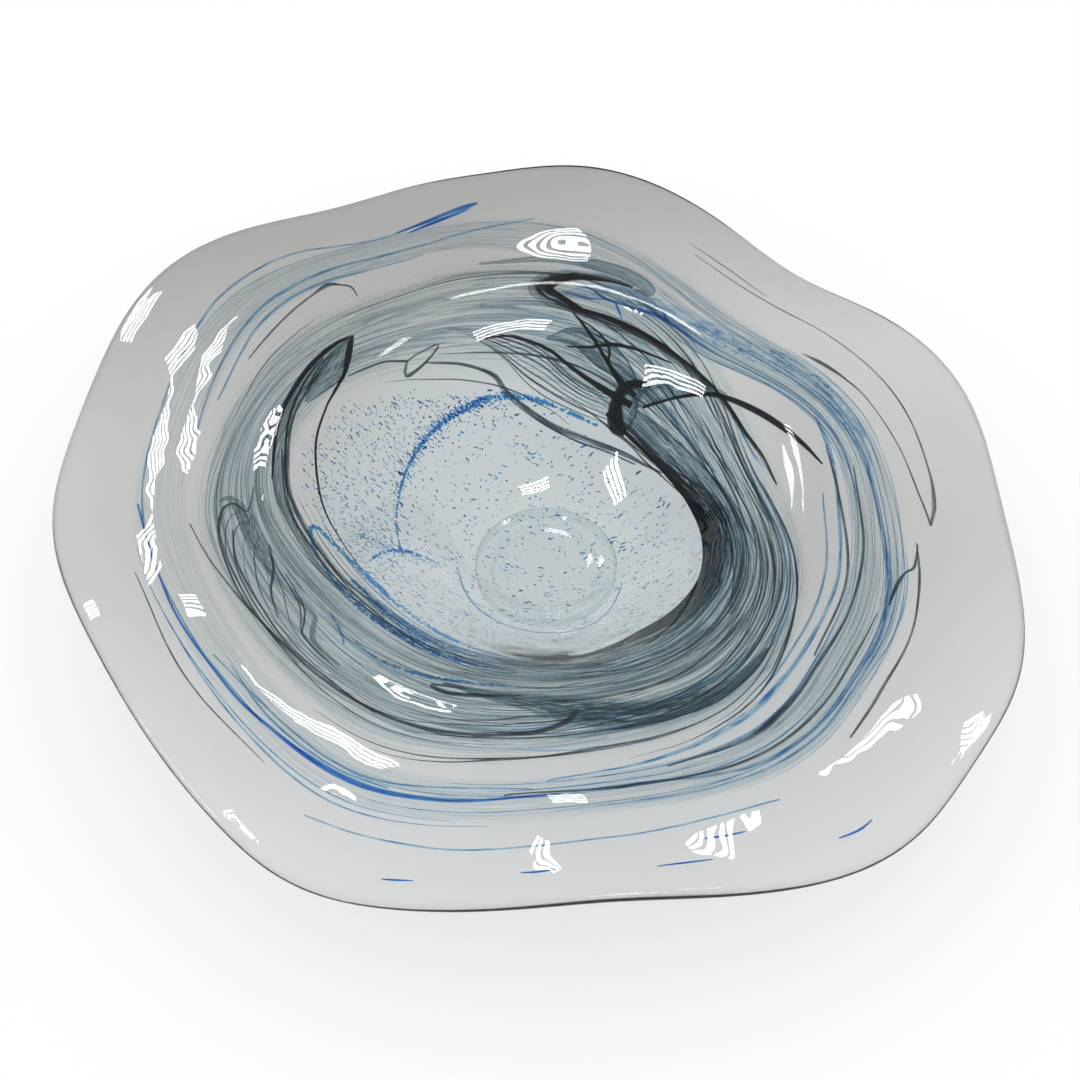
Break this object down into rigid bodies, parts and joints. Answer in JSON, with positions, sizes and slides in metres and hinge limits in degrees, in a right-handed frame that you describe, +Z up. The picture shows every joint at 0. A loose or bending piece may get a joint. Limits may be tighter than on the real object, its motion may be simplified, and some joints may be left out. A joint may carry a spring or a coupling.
{
  "type": "art glass bowl",
  "caption": "Wide free-form blown glass bowl with a round well, a flared wavy rim and streaks of smoke, black and blue cased in clear glass, on a polished foot.",
  "frame": {"origin": "middle of the bowl's outline seen from above, on the surface that the foot rests on", "axes": "+Z up out of the mouth; +X along the bowl's widest way; +Y towards the back, where the brim is narrowest"},
  "size_m": [0.4504, 0.4264, 0.0941],
  "materials": {
    "clear_glass": "clear soda glass with a faint grey cast, fire polished",
    "smoke_glass": "streaky transparent smoke-grey colour bar, cased",
    "black_glass": "dense black colour bar drawn into ribbons, cased",
    "blue_glass": "cobalt blue threads and frit, cased",
    "pale_blue_glass": "thin veil of pale blue colour, cased"
  },
  "bodies": {
    "root": {"black_crescent": "black_glass", "black_hook_back": "black_glass", "black_hook_head": "black_glass", "black_knot_arm_back": "black_glass", "black_knot_arm_side": "black_glass", "black_leaf": "black_glass", "black_line_far_right": "black_glass", "black_line_floor_edge": "black_glass", "black_line_front": "black_glass", "black_line_loop": "black_glass", "black_line_low_left": "black_glass", "black_line_low_right": "black_glass", "black_line_right": "black_glass", "black_sweep": "black_glass", "blue_arc_floor": "blue_glass", "blue_arc_foot": "blue_glass", "blue_dash_front_1": "blue_glass", "blue_dash_front_2": "blue_glass", "blue_dash_front_3": "blue_glass", "blue_dash_front_4": "blue_glass", "blue_haze_brim": "pale_blue_glass", "blue_kink": "blue_glass", "blue_lace": "blue_glass", "blue_thread_back": "blue_glass", "blue_thread_front": "blue_glass", "blue_thread_inner": "blue_glass", "blue_thread_right": "blue_glass", "frit_bed": "pale_blue_glass", "inner_gather": "clear_glass", "outer_gather": "clear_glass", "punty_foot": "clear_glass", "smoke_swirl_left": "smoke_glass", "smoke_veil_shoulder": "smoke_glass", "smoke_veil_wall": "smoke_glass"}
  },
  "joints": []
}
